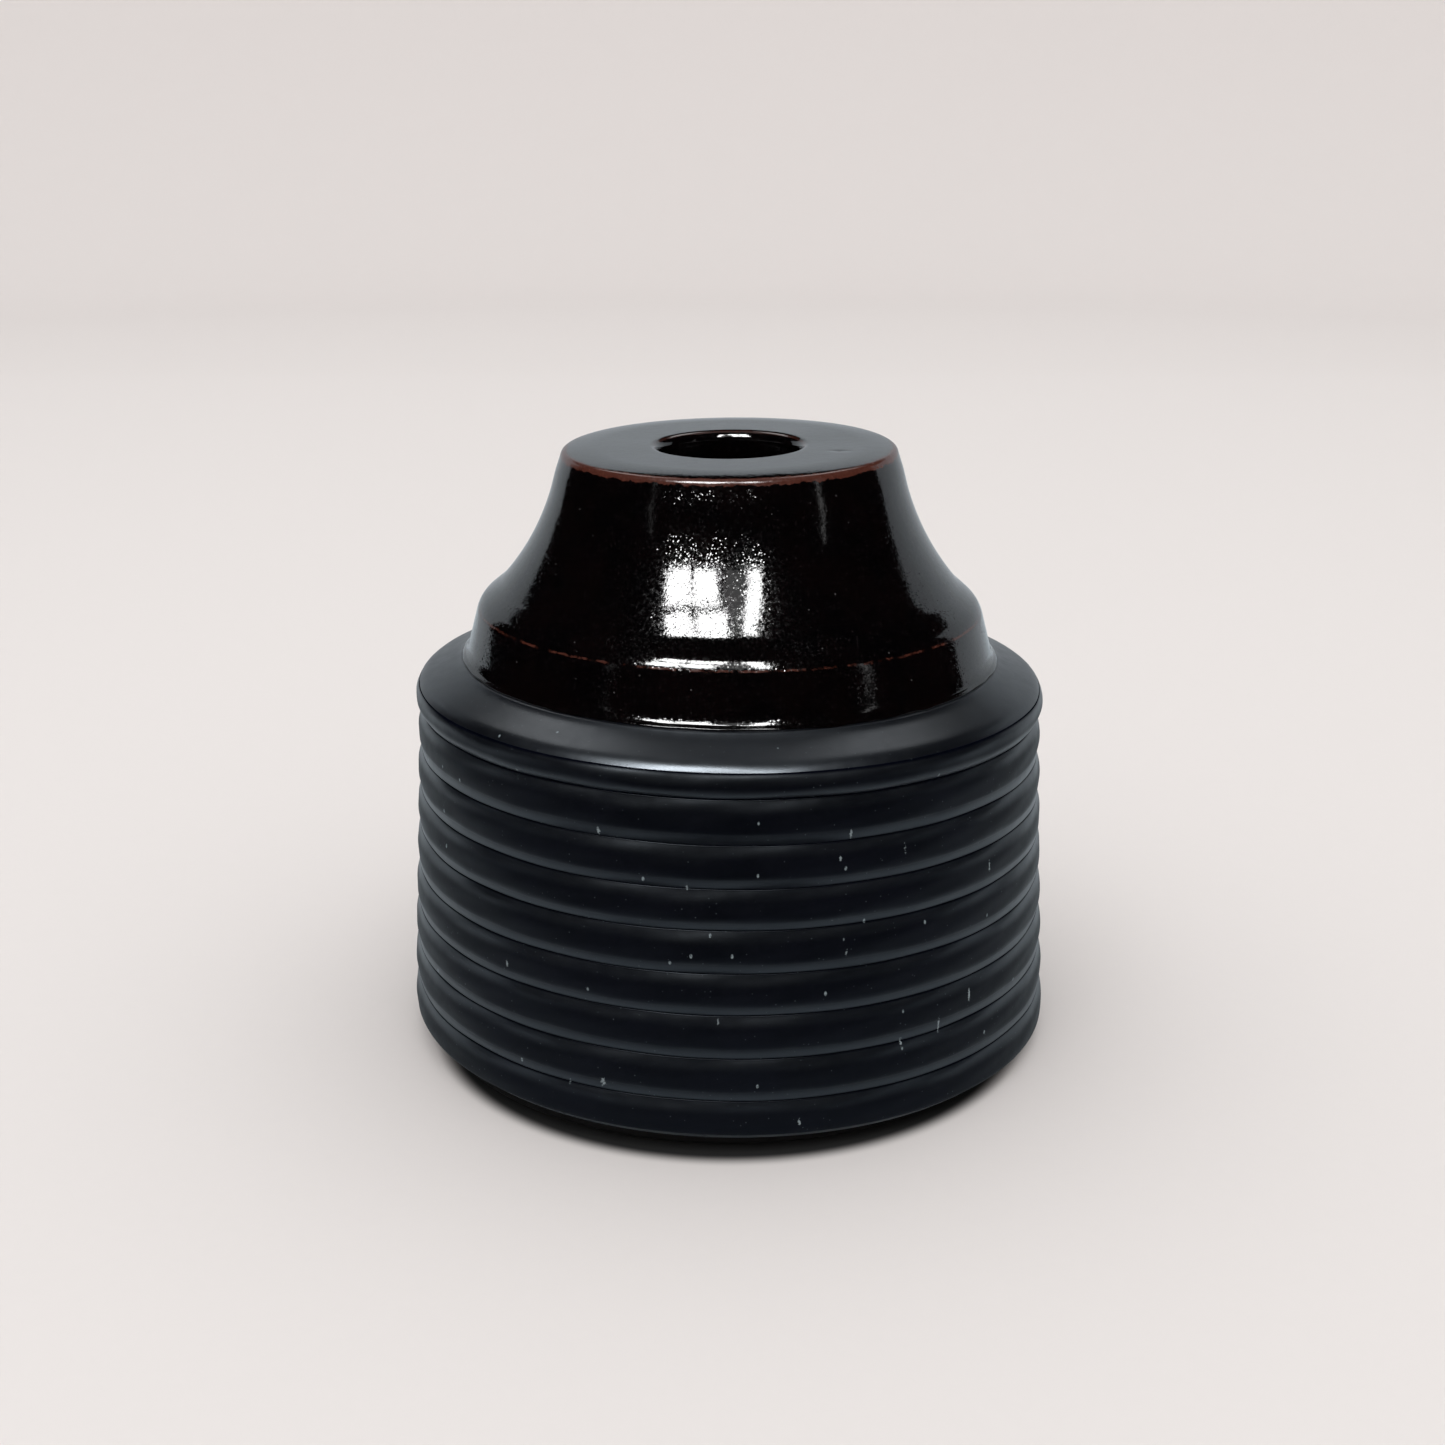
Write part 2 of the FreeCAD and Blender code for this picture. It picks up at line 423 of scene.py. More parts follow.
MATT_DARK, MATT_PALE = rgb(0.0010, 0.0015, 0.0040), rgb(0.0018, 0.0023, 0.0056)
MATT_SHEEN = rgb(0.82, 0.91, 1.0)
SPECK_COLOUR, FLECK_COLOUR = rgb(0.22, 0.27, 0.29), rgb(0.26, 0.31, 0.33)
GLOSS_DARK, GLOSS_PALE = rgb(0.0009, 0.0007, 0.0009), rgb(0.0020, 0.0010, 0.0011)
# The second colour is for the painted glints
CRYSTAL_COLOUR, PAINTED_GLINT_COLOUR = rgb(0.016, 0.013, 0.014), rgb(0.10, 0.10, 0.10)
RUST_DARK, RUST_PALE = rgb(0.026, 0.007, 0.005), rgb(0.110, 0.032, 0.020)
LINER_DARK, LINER_PALE = rgb(0.0016, 0.001, 0.001), rgb(0.006, 0.003, 0.0025)
CLAY_DARK, CLAY_PALE = rgb(0.045, 0.030, 0.022), rgb(0.085, 0.060, 0.045)
# The second colour is painted shade for the foot's outer edge
IRON_COLOUR, FOOT_SHADE_COLOUR = rgb(0.012, 0.008, 0.006), rgb(0.005, 0.0036, 0.003)
# Colour of the painted contact shade on the paper
CONTACT_SHADE_COLOUR = rgb(0.02, 0.02, 0.02)

# Facets: how few cells are strongly tilted, and the cell colour that leaves a facet upright
FACET_POWER = 5.0
FACET_MIDDLE = (0.5, 0.5, 0.17)

# Matt glaze: mm from a crease within which it has pooled, and how much it shines
POOL_NEAR, POOL_FAR = 0.4, 3.4
BESIDE_FAR = 1.8
SHINE_POOLED, SHINE_THIN, SHINE_BESIDE = 0.55, 0.10, 0.12
GROOVE_DARK, GROOVE_CLEAR = 0.16, 0.60

# Gloss glaze: heights in metres between which the glinting facets stop, just under the disc top
FACETS_END, FACETS_GONE = 0.1185, 0.1205
ARRIS_LINE = 0.14
LIP_LINE = 0.15

# Radii in metres: painted shade on the foot's outer edge, and painted contact shade on the floor
FOOT_SHADE_START, FOOT_SHADE_FULL = 0.0608, 0.0620
CONTACT_FULL, CONTACT_END = 0.0588, 0.0632
CONTACT_FORWARD = 0.0075


class Shader:
    """A node material, written as nested calls."""

    def __init__(self, name):
        self.material = bpy.data.materials.new(name)
        self.material.use_nodes = True
        self.tree = self.material.node_tree
        self.tree.nodes.clear()
        self.place = self.node("ShaderNodeTexCoord").outputs["Object"]

    def node(self, kind, inputs=None, **settings):
        made = self.tree.nodes.new(kind)
        for key, value in settings.items():
            setattr(made, key, value)
        for key, value in (inputs or {}).items():
            if isinstance(value, bpy.types.NodeSocket):
                self.tree.links.new(value, made.inputs[key])
            else:
                made.inputs[key].default_value = value
        return made

    def math(self, operation, *values):
        return self.node("ShaderNodeMath", dict(enumerate(values)), operation=operation).outputs[0]

    def times(self, first, second):
        return self.math("MULTIPLY", first, second)

    def plus(self, first, second):
        return self.math("ADD", first, second)

    def spread(self, noise, size):
        """Noise from 0 to 1, moved and scaled to a size in all around 0."""
        return self.times(self.math("SUBTRACT", noise, 0.5), size)

    def vector(self, operation, *values):
        inputs = dict(enumerate(values))
        return self.node("ShaderNodeVectorMath", inputs, operation=operation).outputs[0]

    def path(self):
        """The number that the mesh keeps on its vertices."""
        return self.node("ShaderNodeAttribute", attribute_name="path_mm").outputs["Fac"]

    def ramp(self, value, low, high, start=0.0, end=1.0):
        """Goes smoothly from start to end while value goes from low to high."""
        inputs = {"Value": value, "From Min": low, "From Max": high, "To Min": start, "To Max": end}
        made = self.node("ShaderNodeMapRange", inputs, interpolation_type="SMOOTHSTEP")
        return made.outputs[0]

    def band(self, value, low, high, edge):
        """1 between low and high, fading over edge on both sides."""
        rise = self.ramp(value, low - edge, low)
        fall = self.ramp(value, high, high + edge, 1.0, 0.0)
        return self.times(rise, fall)

    def blend(self, factor, first, second):
        inputs = {0: factor, 6: first, 7: second}
        return self.node("ShaderNodeMix", inputs, data_type="RGBA").outputs[2]

    def stretched(self, x, y, z):
        return self.vector("MULTIPLY", self.place, (x, y, z))

    def noise(self, size, detail=2.0, roughness=0.5, vector=None):
        """Noise with features of a size in mm."""
        inputs = {
            "Vector": vector or self.place,
            "Scale": 1000.0 / size,
            "Detail": detail,
            "Roughness": roughness,
        }
        return self.node("ShaderNodeTexNoise", inputs).outputs[0]

    def cells(self, size, vector=None):
        """Random cells of a size in mm."""
        inputs = {"Vector": vector or self.place, "Scale": 1000.0 / size}
        return self.node("ShaderNodeTexVoronoi", inputs)

    def bump(self, height, depth, normal=None):
        """Height from 0 to 1 stands for a depth in mm."""
        inputs = {"Height": height, "Distance": depth * MM, "Strength": 1.0}
        if normal:
            inputs["Normal"] = normal
        return self.node("ShaderNodeBump", inputs).outputs[0]

    def facets(self, size, share, tilt, normal):
        """Tilts the normal at random in small cells, a few of them strongly: crystals."""
        cell = self.cells(size)
        chosen = self.node("ShaderNodeSeparateColor", {0: cell.outputs["Color"]}).outputs[2]
        amount = self.times(self.times(self.math("POWER", chosen, FACET_POWER), tilt), share)
        away = self.vector("SUBTRACT", cell.outputs["Color"], FACET_MIDDLE)
        scaled = self.node("ShaderNodeVectorMath", {0: away, "Scale": amount}, operation="SCALE")
        return self.vector("NORMALIZE", self.vector("ADD", normal, scaled.outputs[0]))

    def finish(self, **inputs):
        named = {name.replace("_", " "): value for name, value in inputs.items()}
        surface = self.node("ShaderNodeBsdfPrincipled", named)
        out = self.node("ShaderNodeOutputMaterial")
        self.tree.links.new(surface.outputs[0], out.inputs[0])
        return self.material


def specks(shader, size, reach, share, vector=None):
    """Small round spots: one in every cell of a size, for a share of the cells."""
    cell = shader.cells(size, vector)
    spot = shader.ramp(cell.outputs["Distance"], reach * 0.6, reach, 1.0, 0.0)
    chosen = shader.node("ShaderNodeSeparateColor", {0: cell.outputs["Color"]}).outputs[0]
    return shader.times(spot, shader.math("LESS_THAN", chosen, share))


def from_axis(shader, forward=0.0):
    """Distance in metres from the pot's axis, or from an upright line forward of it."""
    x, y = shader.node("ShaderNodeSeparateXYZ", {0: shader.place}).outputs[:2]
    y = shader.plus(y, forward)
    squares = shader.plus(shader.math("POWER", x, 2.0), shader.math("POWER", y, 2.0))
    return shader.math("SQRT", squares)


def fleck(shader, angle, height, wide, tall):
    """A mask for one small fleck on the body, at an angle in degrees and a height in mm."""
    r = float(np.interp(height, BODY_Z, BODY_R))
    a = math.radians(angle)
    centre = (r * math.cos(a) * MM, r * math.sin(a) * MM, height * MM)
    wide, tall = FLECK_SIZE * wide * MM, FLECK_SIZE * tall * MM
    away = shader.vector("SUBTRACT", shader.place, centre)
    away = shader.vector("MULTIPLY", away, (1 / wide, 1 / wide, 1 / tall))
    size = shader.node("ShaderNodeVectorMath", {0: away}, operation="LENGTH").outputs[1]
    ragged = shader.spread(shader.noise(0.4, 3.0), 3.4)
    return shader.ramp(shader.plus(size, ragged), 0.5, 1.1, 1.0, 0.0)


def matt_glaze():
    """Blue-black satin with pale flecks; it shines more where it has pooled beside a crease."""
    s = Shader("matt_blue_black_glaze")
    cloud = s.noise(14.0, 4.0, 0.6)
    colour = s.blend(s.ramp(cloud, 0.35, 0.65), MATT_DARK, MATT_PALE)
    large = specks(s, 4.0, 0.08, 0.45, s.stretched(1, 1, 0.6))
    small = specks(s, 1.3, 0.12, 0.5)
    pale = s.math("MAXIMUM", large, s.times(small, 0.22))
    pale = s.times(pale, s.ramp(s.noise(0.35), 0.35, 0.55, 0.3, 1.0))
    colour = s.blend(s.times(pale, 0.8), colour, SPECK_COLOUR)
    for angle, height, wide, tall, strength in FLECKS:
        mark = fleck(s, angle, height, wide, tall)
        colour = s.blend(s.times(mark, strength), colour, FLECK_COLOUR)

    crease = s.path()
    pooled = s.ramp(s.plus(crease, s.spread(cloud, 1.2)), POOL_NEAR, POOL_FAR, 1.0, 0.0)
    beside = s.ramp(crease, POOL_NEAR, BESIDE_FAR, SHINE_BESIDE, 0.0)
    shine = s.plus(s.ramp(pooled, 0.0, 1.0, SHINE_THIN, SHINE_POOLED), beside)
    on_shoulder = s.math("LESS_THAN", crease, 0.0001)
    open_face = s.math("MAXIMUM", s.ramp(crease, GROOVE_DARK, GROOVE_CLEAR), on_shoulder)
    shine = s.times(shine, open_face)

    rough = s.ramp(s.noise(3.0, 4.0, 0.6), 0.3, 0.7, 0.29, 0.33)
    rough = s.plus(rough, s.times(s.math("SUBTRACT", 1.0, pooled), 0.12))
    grain = s.noise(0.5, 3.0, 0.6)
    lines = s.noise(0.8, 2.0, 0.5, s.stretched(0.06, 0.06, 1.0))
    return s.finish(
        Base_Color=colour,
        Roughness=rough,
        IOR=1.5,
        Specular_IOR_Level=shine,
        Specular_Tint=MATT_SHEEN,
        Normal=s.bump(s.plus(s.times(grain, 0.7), s.times(lines, 0.3)), 0.014),
    )


def gloss_glaze():
    """Brown-black and glassy, with small crystals that glint and pale painted glints; rust brown
    where it has run thin.
    """
    s = Shader("brown_black_gloss_glaze")
    base = s.blend(s.ramp(s.noise(9.0, 3.0, 0.6), 0.3, 0.7), GLOSS_DARK, GLOSS_PALE)
    base = s.blend(s.times(specks(s, 0.8, 0.34, 0.4), 0.30), base, CRYSTAL_COLOUR)
    # Painted glints: tiny pale specks in the base colour
    base = s.blend(s.times(specks(s, 2.4, 0.08, 0.35), 0.6), base, PAINTED_GLINT_COLOUR)

    path = s.path()
    ragged = s.noise(1.8, 4.0, 0.7)
    rim = s.band(s.plus(path, s.spread(ragged, 2.2)), PATH_RIM[0], PATH_RIM[1], 0.25)
    moved = s.plus(path, s.spread(ragged, 0.9))
    arris = s.band(moved, PATH_ARRIS - ARRIS_LINE, PATH_ARRIS + ARRIS_LINE, ARRIS_LINE)
    arris = s.times(arris, s.ramp(s.noise(5.0, 4.0, 0.7), 0.42, 0.56, 0.0, 0.8))
    lip = s.times(s.band(moved, PATH_LIP - LIP_LINE, PATH_LIP + LIP_LINE, 0.3), 0.35)
    rust = s.math("MAXIMUM", s.math("MAXIMUM", rim, arris), lip)
    thin = s.blend(s.noise(0.6, 3.0, 0.7), RUST_DARK, RUST_PALE)

    normal = s.bump(s.noise(2.4, 2.0, 0.5), 0.022)
    normal = s.bump(s.noise(0.5, 2.0, 0.6), 0.008, normal)
    share = s.plus(0.55, s.times(s.ramp(s.noise(8.0, 3.0, 0.6), 0.40, 0.62), 0.45))
    height = s.node("ShaderNodeSeparateXYZ", {0: s.place}).outputs[2]
    share = s.times(share, s.ramp(height, FACETS_END, FACETS_GONE, 1.0, 0.0))
    rough = s.ramp(s.noise(0.6, 2.0, 0.6), 0.35, 0.75, 0.03, 0.16)
    return s.finish(
        Base_Color=s.blend(rust, base, thin),
        Roughness=s.plus(rough, s.times(rust, 0.12)),
        IOR=1.5,
        Normal=s.facets(0.20, share, 0.19, normal),
    )


def liner_glaze():
    """The thin dark glaze on the inside."""
    s = Shader("inside_glaze")
    colour = s.blend(s.noise(6.0, 3.0), LINER_DARK, LINER_PALE)
    return s.finish(Base_Color=colour, Roughness=0.2, IOR=1.5, Normal=s.bump(s.noise(2.0), 0.02))


def clay_body():
    """Bare fired clay with iron specks, and painted shade, near black, on the outer edge of the
    foot.
    """
    s = Shader("fired_stoneware_clay")
    colour = s.blend(s.noise(1.2, 4.0, 0.7), CLAY_DARK, CLAY_PALE)
    colour = s.blend(specks(s, 1.5, 0.16, 0.4), colour, IRON_COLOUR)
    ragged = s.plus(from_axis(s), s.times(s.noise(2.0), 0.001))
    # Painted shade: the clay goes near black on the foot's outer edge, where it sits in shade
    colour = s.blend(s.ramp(ragged, FOOT_SHADE_START, FOOT_SHADE_FULL), colour, FOOT_SHADE_COLOUR)
    normal = s.bump(s.noise(0.35, 3.0), 0.03)
    return s.finish(Base_Color=colour, Roughness=0.85, IOR=1.45, Normal=normal)


def paper(name, r, g, b, painted_shade=False):
    """Pale paper; the one under the pot gets a soft dark patch there, a little forward: painted
    contact shade.
    """
    s = Shader(name)
    colour = s.blend(s.noise(3.0, 4.0, 0.6), rgb(r * 0.985, g * 0.985, b * 0.985), rgb(r, g, b))
    if painted_shade:
        # Painted contact shade: the paper goes dark in a ring round the foot, shifted towards the
        # camera
        dark = s.ramp(from_axis(s, CONTACT_FORWARD), CONTACT_FULL, CONTACT_END, 1.0, 0.0)
        colour = s.blend(dark, colour, CONTACT_SHADE_COLOUR)
    return s.finish(Base_Color=colour, Roughness=0.9, Specular_IOR_Level=0.1)


FLECK_SIZE = 1.25

# Flecks that stand out: angle in degrees from +X, height, half width, half length in mm, strength
FLECKS = [
    (-128.0, 69.9, 0.20, 0.8, 0.8),
    (-112.0, 62.0, 0.25, 0.5, 0.7),
    (-97.0, 52.5, 0.2, 0.9, 0.6),
    (-72.0, 57.5, 0.22, 0.5, 0.7),
    (-70.0, 61.5, 0.2, 0.7, 0.6),
    (-53.0, 70.0, 0.2, 0.7, 0.6),
    (-60.0, 57.5, 0.25, 1.0, 0.6),
    (-45.0, 60.0, 0.2, 0.8, 0.6),
    (-40.0, 48.0, 0.25, 0.9, 0.7),
    (-46.0, 24.0, 0.25, 1.0, 0.8),
    (-53.0, 20.0, 0.2, 1.2, 0.7),
    (-61.0, 19.0, 0.2, 0.9, 0.7),
    (-111.0, 13.0, 0.4, 0.7, 0.7),
    (-117.0, 11.0, 0.2, 0.8, 0.6),
    (-130.0, 32.0, 0.2, 0.7, 0.6),
    (-79.0, 6.5, 0.2, 0.6, 0.8),
    (-92.0, 27.0, 0.2, 0.4, 0.5),
    (-71.0, 39.0, 0.2, 0.6, 0.5),
]


# ---------------------------------------------------------------- the pieces

# Outer faces are fine; the faces where glaze and clay meet, which nobody sees, are coarser.
matt = crisp(matt_outline(per_rib=10, fine=9), reach=0.14)
bell = bell_outline(fine=16)
inside = inside_outline(fine=14)
matt_back = offset(matt_outline(per_rib=5, fine=5), GLAZE)
bell_back = offset(bell_outline(fine=8), GLAZE)
inside_back = offset(inside, GLAZE)
BODY_Z, BODY_R = matt[:, 1], matt[:, 0]
SEAM = matt[-1]
INSIDE_COLUMNS = 180
CLAY_COLUMNS = 210

bell_path = along(bell)


def path_at(point):
    """How far along the bell's outline the nearest point to this one is."""
    return float(bell_path[np.argmin(np.hypot(*(bell - np.array(point)).T))])


# Where the gloss glaze has run thin, in mm along the bell's outline
PATH_ARRIS = path_at((51.0, 89.6))
PATH_RIM = (path_at((33.4, 120.7)) - 0.3, path_at((32.6, 121.5)) + 0.1)
PATH_LIP = path_at((MOUTH_R + 1.0, 121.75))

# Small waves on the ribs: size, number round the pot, shift per mm of height
RIB_WAVES = [(0.05, 11, 0.9), (0.04, 17, -1.7)]
RIB_WAVES_END_Z = 78
RIB_WAVES_FADE = 4
SHOULDER_FADE = 5.5

# The gloss glaze's lower edge and the dimple in the disc top
EDGE_REACH = 0.9
EDGE_DRIFT = 0.28
EDGE_FAT, EDGE_FAT_CHANGE = 0.12, 0.08
SLANT = 0.7
DIMPLE_X, DIMPLE_Y = 21.5, -8.5
DIMPLE_WIDE, DIMPLE_DEEP, DIMPLE_DEPTH = 1.6, 0.8, 0.14
TOP_STARTS_Z, TOP_BLEND = 121.0, 0.5


def matt_detail(r, z, angle):
    """Small waves that differ from rib to rib."""
    wave = sum(size * np.cos(count * angle + shift * z) for size, count, shift in RIB_WAVES)
    up = np.clip((z - BOTTOM_Z) / RIB_WAVES_FADE, 0, 1)
    down = np.clip((RIB_WAVES_END_Z - z) / RIB_WAVES_FADE, 0, 1)
    return r + wave * up * down, z


def gloss_detail(r, z, angle):
    """A rolled, ragged lower edge, and a dimple in the disc top."""
    edge = np.sqrt(np.clip(1 - np.hypot(r - SEAM[0], z - SEAM[1]) / EDGE_REACH, 0, 1))
    drift = rough_line(angle[:1], 5, 70, 3, EDGE_DRIFT)
    fat = EDGE_FAT + rough_line(angle[:1], 4, 40, 5, EDGE_FAT_CHANGE)
    r = r + edge * (fat * SLANT - drift * SLANT)
    z = z + edge * (fat * SLANT + drift * SLANT)
    x, y = r * np.cos(angle), r * np.sin(angle)
    top = np.clip((z - TOP_STARTS_Z) / TOP_BLEND, 0, 1)
    across, deep = (x - DIMPLE_X) / DIMPLE_WIDE, (y - DIMPLE_Y) / DIMPLE_DEEP
    dimple = np.exp(-(across**2) - deep**2)
    return r, z - DIMPLE_DEPTH * dimple * top


def crease_distance(points):
    """How far each point of the matt outline is from the nearest crease; 0 on the shoulder."""
    path = along(points)
    grooves = [0.0]
    for z in CREASE_Z:
        near = np.abs(points[:, 1] - z - GROOVE_RISE) < 0.1
        grooves.append(path[near][np.argmin(points[near, 0])])
    distance = np.abs(path[:, None] - np.array(grooves)[None, :]).min(1)
    return np.minimum(distance, np.clip(grooves[-1] + SHOULDER_FADE - path, 0, None))


pieces = {}
section, path = closed(matt, matt_back, crease_distance(matt))
pieces["matt_skin"] = turned("matt_skin", section, detail=matt_detail, path=path)
section, path = closed(bell, bell_back)
pieces["gloss_skin"] = turned("gloss_skin", section, detail=gloss_detail, path=path)
section = closed(inside_back, inside)[0]
pieces["liner_skin"] = turned("liner_skin", section, columns=INSIDE_COLUMNS)

for name, node, slot in (
    ("matt_skin", "matt_glaze", "matt_glaze"),
    ("gloss_skin", "gloss_glaze", "gloss_glaze"),
    ("liner_skin", "liner_glaze", "liner_glaze"),
):
    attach(pieces[name], "root")
    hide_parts(node)

# Half sections of the clay, one for each CAD node. Where glaze meets clay they follow the glaze.
ABOVE_BASE_Z = 12.8
BELOW_CEILING_Z = 115.9
joint_r, joint_z = BELL_JOINT
step_z = joint_z - BELL_JOINT_STEP
ledge_in, ledge_out = BASE_LEDGE_R
wall = np.concatenate(
    [
        [(ledge_out, BOTTOM_Z)],
        matt_back,
        [(joint_r, joint_z), (joint_r, step_z)],
        clip_z(inside_back, ABOVE_BASE_Z, step_z),
        [(ledge_in, BASE_TOP_Z), (ledge_in, BASE_LEDGE_Z), (ledge_out, BASE_LEDGE_Z)],
    ]
)
on_disc = (bell_back[:, 0] < DISC_LEDGE[0]) & (bell_back[:, 1] > DISC_LEDGE[1])
first_on_disc = int(np.argmax(on_disc))
ceiling = (CEILING_R, CEILING_Z + GLAZE)
bell_clay = np.concatenate(
    [
        [(joint_r, joint_z)],
        bell_back[:first_on_disc],
        [(DISC_LEDGE[0], DISC_TOP_Z), DISC_LEDGE, (CEILING_R, DISC_LEDGE[1]), ceiling],
        clip_z(inside_back, step_z, BELOW_CEILING_Z),
        [(joint_r, step_z)],
    ]
)
disc = np.concatenate(
    [
        [(DISC_LEDGE[0], DISC_TOP_Z)],
        bell_back[first_on_disc:],
        [ceiling, (CEILING_R, DISC_LEDGE[1]), DISC_LEDGE],
    ]
)
base = np.concatenate(
    [
        [(0, RECESS_Z), (RECESS_R[0], RECESS_Z), (RECESS_R[1], 0)],
        [(FOOT_R - FOOT_CHAMFER, 0), (FOOT_R, FOOT_CHAMFER), (FOOT_R, BOTTOM_Z)],
        [(ledge_out, BOTTOM_Z), (ledge_out, BASE_LEDGE_Z)],
        [(ledge_in, BASE_LEDGE_Z), (ledge_in, BASE_TOP_Z)],
        inside_back[(inside_back[:, 0] < ledge_in) & (inside_back[:, 1] < BASE_TOP_Z)],
    ]
)
clay = clay_body()
for name, node, section in (
    ("wall_clay", "ribbed_wall", wall),
    ("bell_clay", "bell_section", bell_clay),
    ("disc_clay", "top_disc", disc),
    ("base_clay", "foot_base", base),
):
    if area_sign(section) < 0:
        section = section[::-1]
    piece = turned(name, section, columns=CLAY_COLUMNS, smooth=False)
    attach(piece, "root")
    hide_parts(node)
    piece.data.materials.append(clay)

pieces["matt_skin"].data.materials.append(matt_glaze())
pieces["gloss_skin"].data.materials.append(gloss_glaze())
pieces["liner_skin"].data.materials.append(liner_glaze())

# The CAD nodes, which these pieces stand in for, get the clay material too
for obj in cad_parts.values():
    for place in obj.material_slots:
        place.material = clay


# ---------------------------------------------------------------- the studio


def seen_by(obj, **rays):
    """Whether rays of each kind see the object."""
    for ray, seen in rays.items():
        setattr(obj, "visible_" + ray, seen)


def stage_surface(name, points, faces, material):
    mesh = bpy.data.meshes.new(name)
    mesh.from_pydata([tuple(p) for p in points], [], faces)
    mesh.polygons.foreach_set("use_smooth", [True] * len(mesh.polygons))
    mesh.materials.append(material)
    obj = bpy.data.objects.new(name, mesh)
    bpy.context.scene.collection.objects.link(obj)
    return obj


def cove(name, material, radius=2.0, bend=0.5, height=0.95, columns=96):
    """A round floor that curves up into a wall all round."""
    line = [(0.0, 0.0), (0.3, 0.0), (0.8, 0.0), (radius - bend, 0.0)]
    for step in range(1, 13):
        a = math.pi / 2 * step / 12
        line.append((radius - bend + bend * math.sin(a), bend - bend * math.cos(a)))
    line.append((radius, height))
    points, faces = [], []
    for r, z in line:
        for k in range(columns):
            a = 2 * math.pi * k / columns
            points.append((r * math.cos(a), r * math.sin(a), z))
    for i in range(len(line) - 1):
        for k in range(columns):
            n = (k + 1) % columns
            a, b = i * columns, (i + 1) * columns
            faces.append((a + k, b + k, b + n, a + n))
    return stage_surface(name, points, faces, material)


# The sweep's paper carries the painted contact shade under the pot
sweep = cove("studio_sweep", paper("studio_paper", 0.768, 0.726, 0.716, painted_shade=True))
seen_by(sweep, glossy=False)

# What the glaze mirrors: a sheet of paper that ends just in front of the pot, curved up behind it.
CARD_FRONT = -0.125
CARD_BACK = 1.0
CARD_SIDE = 1.2
CARD_Z = 0.0002
CARD_STEPS = 64
CARD_R = 0.55
CARD_TOP = 0.36
CARD_LEFT = 142.0
CARD_RIGHT = 22.0

card_paint = paper("card_paper", 0.54, 0.60, 0.65)
floor_points = [
    (-CARD_SIDE, CARD_FRONT, CARD_Z),
    (CARD_SIDE, CARD_FRONT, CARD_Z),
    (CARD_SIDE, CARD_BACK, CARD_Z),
    (-CARD_SIDE, CARD_BACK, CARD_Z),
]
floor_card = stage_surface("floor_card", floor_points, [(0, 1, 2, 3)], card_paint)
wall_points, wall_faces = [], []
for k in range(CARD_STEPS + 1):
    a = math.radians(CARD_RIGHT + (CARD_LEFT - CARD_RIGHT) * k / CARD_STEPS)
    x, y = CARD_R * math.cos(a), CARD_R * math.sin(a)
    wall_points += [(x, y, CARD_Z), (x, y, CARD_TOP)]
for k in range(CARD_STEPS):
    wall_faces.append((2 * k, 2 * k + 2, 2 * k + 3, 2 * k + 1))
wall_card = stage_surface("wall_card", wall_points, wall_faces, card_paint)
for card in (floor_card, wall_card):
    seen_by(card, camera=False, diffuse=False, shadow=False, transmission=False)


AIM = Vector((0, 0, 0.1))


def direction(azimuth, elevation):
    """Azimuth 0 is towards the camera, positive to its right."""
    a, e = math.radians(azimuth), math.radians(elevation)
    return Vector((math.sin(a) * math.cos(e), -math.cos(a) * math.cos(e), math.sin(e)))


def pane(name, azimuth, elevation, distance, width, height, radiance, sees="glossy"):
    """A flat light of a known brightness that faces the pot, for rays of one kind."""
    data = bpy.data.lights.new(name, "AREA")
    data.shape = "RECTANGLE"
    data.size, data.size_y = width, height
    data.energy = radiance * width * height * math.pi
    obj = bpy.data.objects.new(name, data)
    obj.location = AIM + direction(azimuth, elevation) * distance
    obj.rotation_mode = "QUATERNION"
    obj.rotation_quaternion = direction(azimuth, elevation).to_track_quat("Z", "Y")
    bpy.context.scene.collection.objects.link(obj)
    obj.visible_camera = False
    obj.visible_diffuse = sees == "diffuse"
    obj.visible_glossy = sees == "glossy"


# Brightness of the window's panes
WINDOW = 36.0

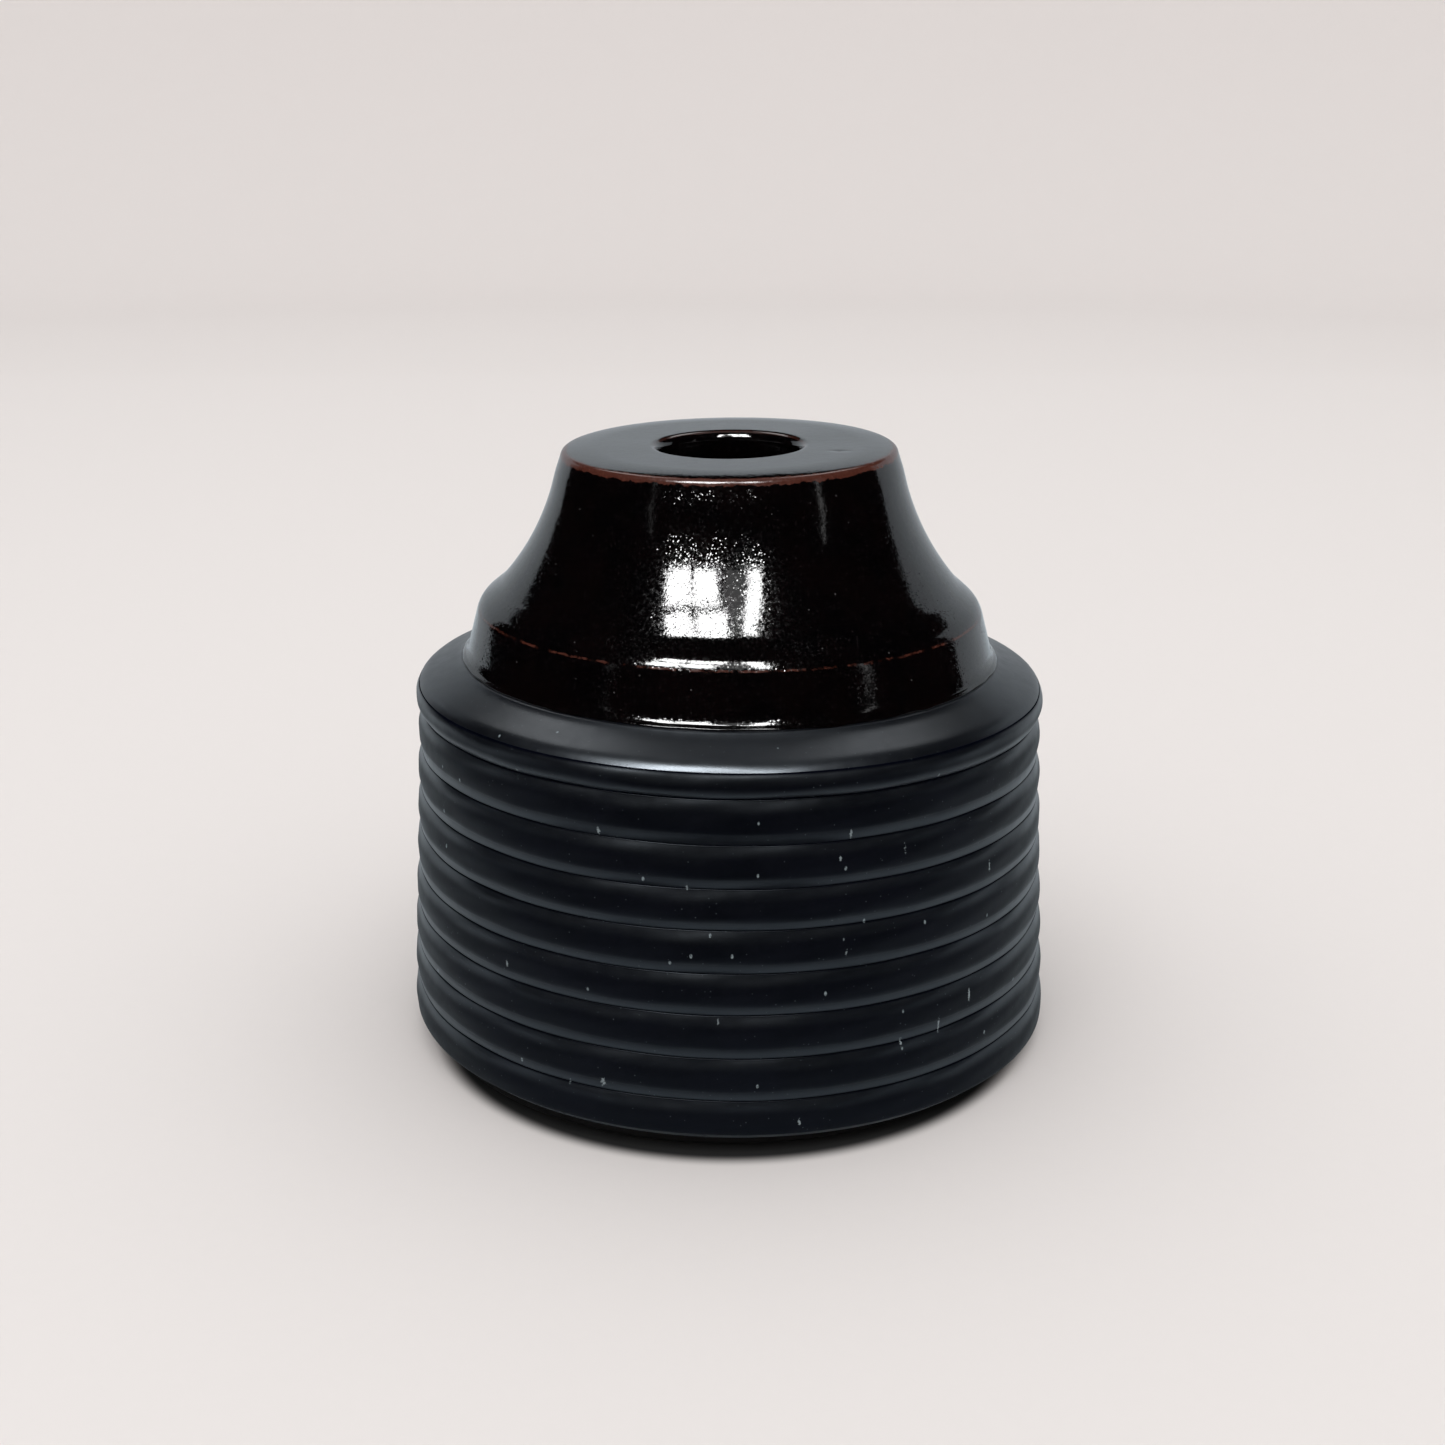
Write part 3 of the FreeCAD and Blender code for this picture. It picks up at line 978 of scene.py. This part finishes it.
# Azimuth and elevation in degrees; distance, width and height in metres; brightness
pane("window_low_left", -33.5, 44.5, 1.4, 0.28, 0.32, WINDOW)
pane("window_low_right", -15.5, 45.5, 1.4, 0.27, 0.32, WINDOW)
pane("window_high_left", -36.0, 59.5, 1.4, 0.24, 0.26, WINDOW)
pane("window_high_right", -12.0, 60.5, 1.4, 0.27, 0.26, WINDOW)
pane("window_far", 16.5, 51.0, 1.4, 0.14, 0.62, WINDOW)
pane("window_wall", 4.0, 52.0, 1.45, 0.26, 0.66, 1.2)
pane("door_right", 60.5, 16.0, 1.2, 0.05, 0.36, 1.2)
pane("door_left", -52.0, 17.0, 1.2, 0.025, 0.30, 0.7)
pane("back_window_left", -150.0, 50.0, 1.4, 0.35, 0.45, 2.4)
pane("back_window_right", 155.0, 50.0, 1.4, 0.35, 0.45, 2.4)
pane("ceiling", 180.0, 74.0, 1.4, 1.2, 0.6, 0.35)
pane("soft_front", -10.0, 52.0, 1.6, 1.3, 1.0, 1.0, sees="diffuse")

world = bpy.data.worlds.new("studio_air")
bpy.context.scene.world = world
world.use_nodes = True
AIR_COLOUR = rgb(0.93, 0.94, 0.93)
AIR_STRENGTH = 1.18
world.node_tree.nodes["Background"].inputs[0].default_value = AIR_COLOUR
world.node_tree.nodes["Background"].inputs[1].default_value = AIR_STRENGTH
world.cycles_visibility.glossy = False

# ---------------------------------------------------------------- camera

CAMERA_PLACE = (-0.001393, -0.392, 0.189)
PITCH, ROLL = 17.75, -0.066
LENS = 49.13

camera_data = bpy.data.cameras.new("camera")
camera_data.sensor_width = 36.0
camera_data.lens = LENS
camera_data.clip_start, camera_data.clip_end = 0.01, 20.0
camera = bpy.data.objects.new("camera", camera_data)
bpy.context.scene.collection.objects.link(camera)
tilt = Matrix.Rotation(math.radians(90 - PITCH), 4, "X")
roll = Matrix.Rotation(math.radians(ROLL), 4, "Z")
camera.matrix_world = Matrix.Translation(CAMERA_PLACE) @ tilt @ roll
bpy.context.scene.camera = camera
bpy.context.scene.view_settings.view_transform = "Standard"

bpy.context.view_layer.update()
